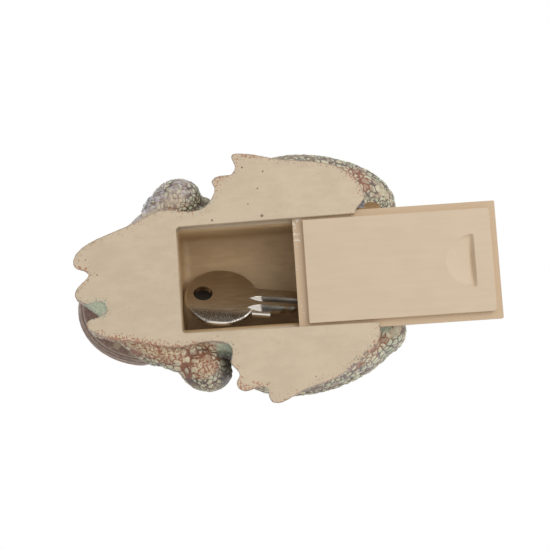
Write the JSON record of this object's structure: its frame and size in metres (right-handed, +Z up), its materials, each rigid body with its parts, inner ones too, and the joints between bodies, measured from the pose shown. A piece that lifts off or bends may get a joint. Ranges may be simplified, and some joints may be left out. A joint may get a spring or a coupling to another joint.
{
  "type": "key hider",
  "caption": "Cast garden frog on a flat base with webbed toes, hollowed below for a spare key and closed by a stepped cover that slides out at the rear.",
  "frame": {"origin": "on the base plane that the frog stands on, on the cover's slide axis, at the middle of the frog's length", "axes": "+Z up, the frog looks along -Y, its left side is +X; the cover slides along Y and comes out towards +Y"},
  "size_m": [0.0878, 0.1492, 0.055],
  "materials": {
    "frog_casting": "cast resin stone, painted pebbled skin above, sanded beige base below",
    "cover_casting": "cast resin stone, satin",
    "key_metal": "nickel plated, smooth"
  },
  "bodies": {
    "frog": {"frog_body": "frog_casting"},
    "cover": {"sliding_cover": "cover_casting"},
    "key": {"key": "key_metal"}
  },
  "joints": [
    {"name": "cover_slide", "type": "slide", "parent": "frog", "child": "cover", "axis": [0, 1, 0], "range_m": [-0.0429, 0.04]},
    {"name": "key_slide", "type": "slide", "parent": "frog", "child": "key", "axis": [0, 1, 0], "range_m": [-0.0003, 0.0045]}
  ]
}
